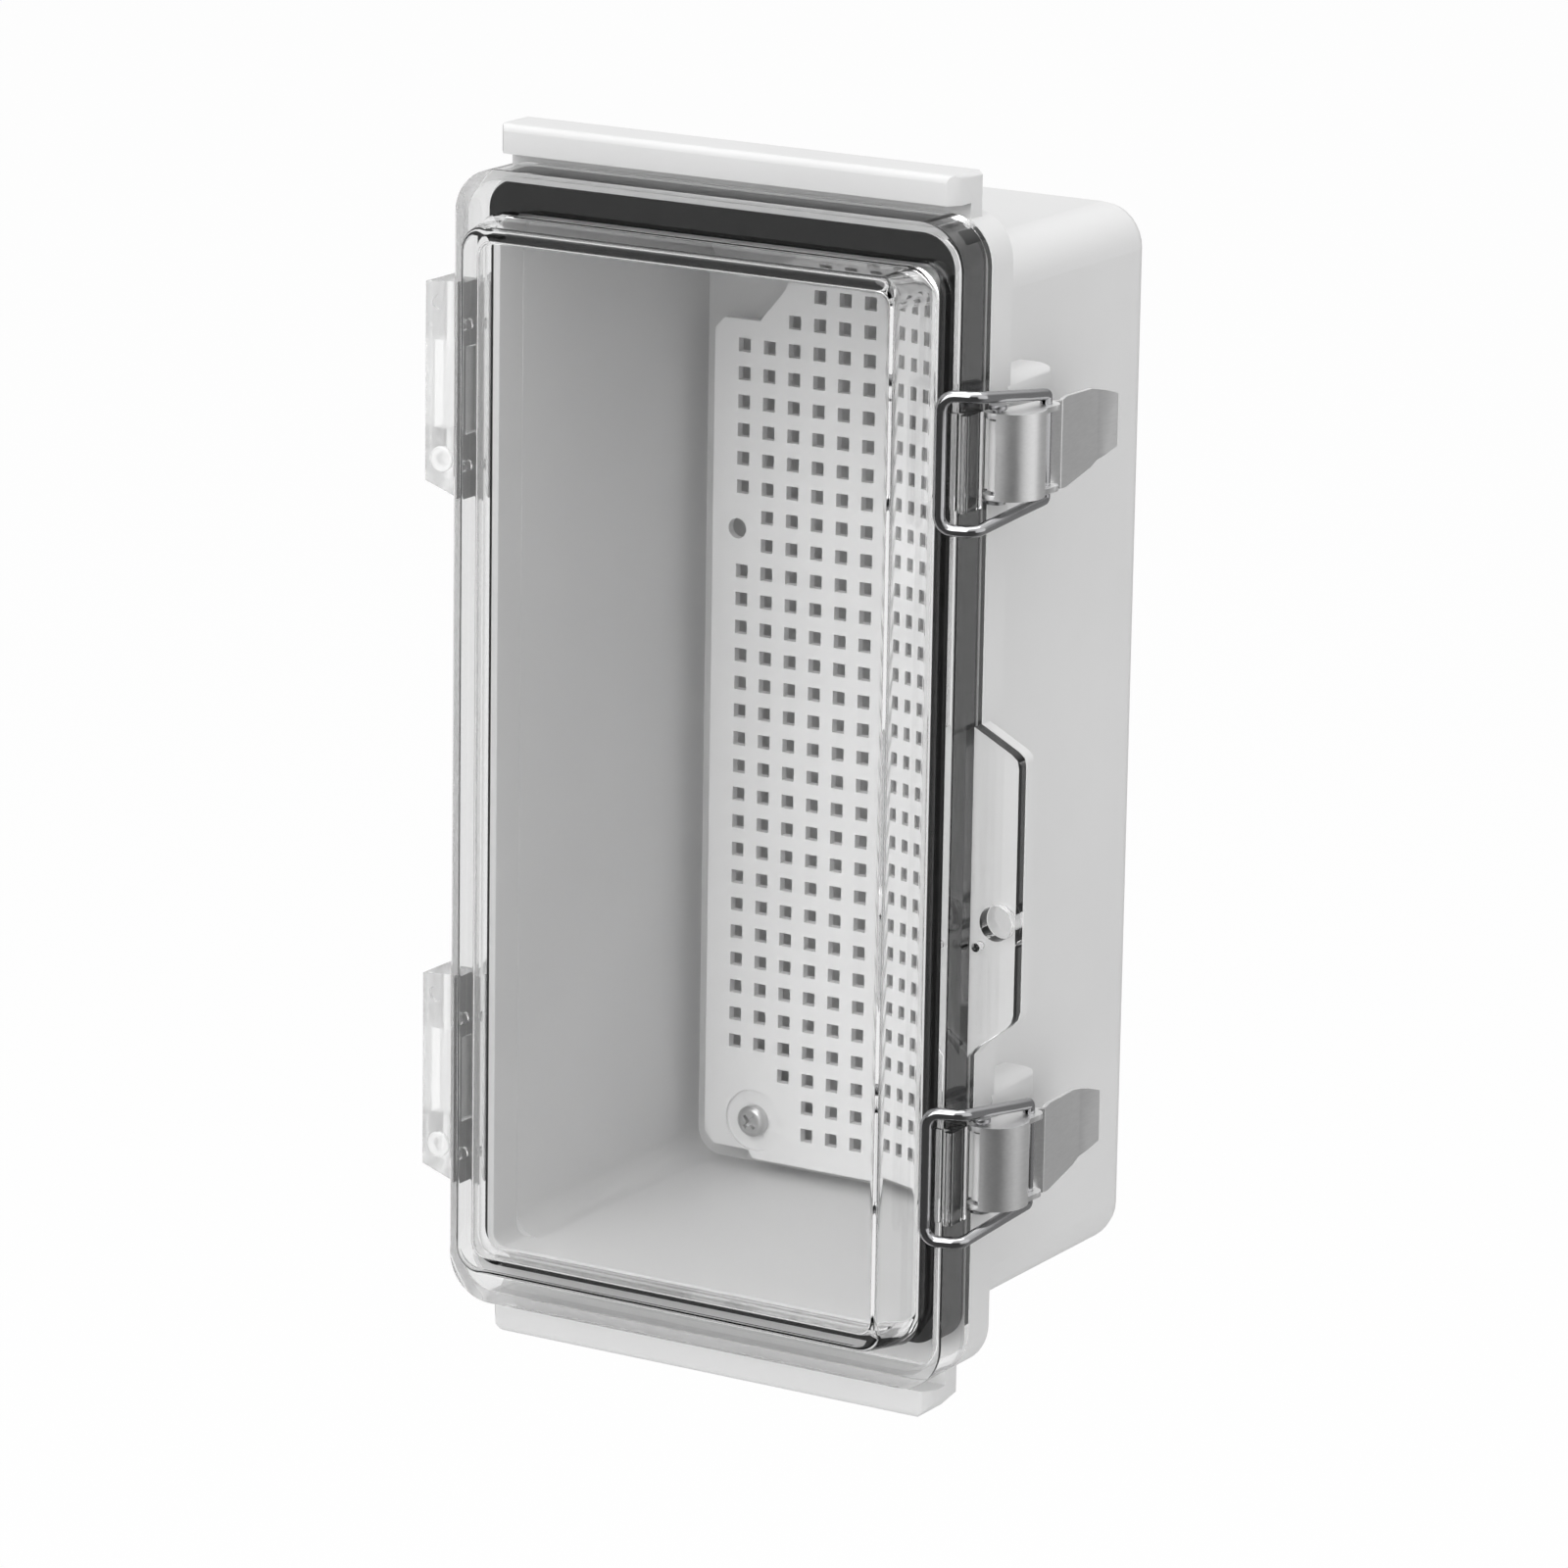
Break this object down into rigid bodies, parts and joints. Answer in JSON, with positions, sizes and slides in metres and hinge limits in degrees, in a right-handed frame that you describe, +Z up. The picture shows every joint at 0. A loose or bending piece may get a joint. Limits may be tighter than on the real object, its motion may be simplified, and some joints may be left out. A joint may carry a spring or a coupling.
{
  "type": "hinged enclosure",
  "caption": "Wall-mounted plastic enclosure with a clear raised lid on side hinges, wire draw latches, a padlock hasp and a perforated inner panel.",
  "frame": {"origin": "centre of the four wall holes on the back face", "axes": "+Z up with the box upright on a wall, -Y out of the lid's front, +X towards the latches and -X towards the hinges"},
  "size_m": [0.1125, 0.0807, 0.2102],
  "materials": {
    "grey_plastic": "fine moulded texture",
    "black_rubber": "foamed gasket",
    "panel_metal": "light grey coated sheet",
    "brass": "turned",
    "screw_steel": "zinc plated",
    "clear_plastic": "clear moulded polycarbonate",
    "stainless": "brushed stainless sheet and wire",
    "pin_steel": "ground pin"
  },
  "bodies": {
    "case": {"tub": "grey_plastic", "gasket": "black_rubber", "mounting_plate": "panel_metal", "plate_inserts": "brass", "plate_screws": "screw_steel", "latch_pin_upper": "pin_steel", "latch_pin_lower": "pin_steel", "latch_clip_upper": "pin_steel", "latch_clip_lower": "pin_steel"},
    "door": {"lid": "clear_plastic", "hinge_leaf_upper": "clear_plastic", "hinge_leaf_lower": "clear_plastic", "hinge_pin_upper": "pin_steel", "hinge_pin_lower": "pin_steel", "hinge_cap_upper": "clear_plastic", "hinge_cap_lower": "clear_plastic"},
    "lever_upper": {"latch_lever_upper": "stainless"},
    "lever_lower": {"latch_lever_lower": "stainless"},
    "bail_upper": {"latch_bail_upper": "stainless"},
    "bail_lower": {"latch_bail_lower": "stainless"}
  },
  "joints": [
    {"name": "lid_hinge", "type": "hinge", "parent": "case", "child": "door", "pos_m": [-0.052, -0.0622, 0], "axis": [0, 0, -1], "range_deg": [0, 150]},
    {"name": "lever_upper_hinge", "type": "hinge", "parent": "case", "child": "lever_upper", "pos_m": [0.051, -0.0637, 0.06], "axis": [0, 0, -1], "range_deg": [0, 80]},
    {"name": "lever_lower_hinge", "type": "hinge", "parent": "case", "child": "lever_lower", "pos_m": [0.051, -0.0637, -0.06], "axis": [0, 0, -1], "range_deg": [0, 80]},
    {"name": "bail_upper_hinge", "type": "hinge", "parent": "lever_upper", "child": "bail_upper", "pos_m": [0.0542, -0.0535, 0.06], "axis": [0, 0, 1], "range_deg": [0, 90]},
    {"name": "bail_lower_hinge", "type": "hinge", "parent": "lever_lower", "child": "bail_lower", "pos_m": [0.0542, -0.0535, -0.06], "axis": [0, 0, 1], "range_deg": [0, 90]}
  ],
  "couplings": [
    {"joint": "bail_upper_hinge", "follows": "lever_upper_hinge", "ratio": 1.1},
    {"joint": "bail_lower_hinge", "follows": "lever_lower_hinge", "ratio": 1.1}
  ]
}
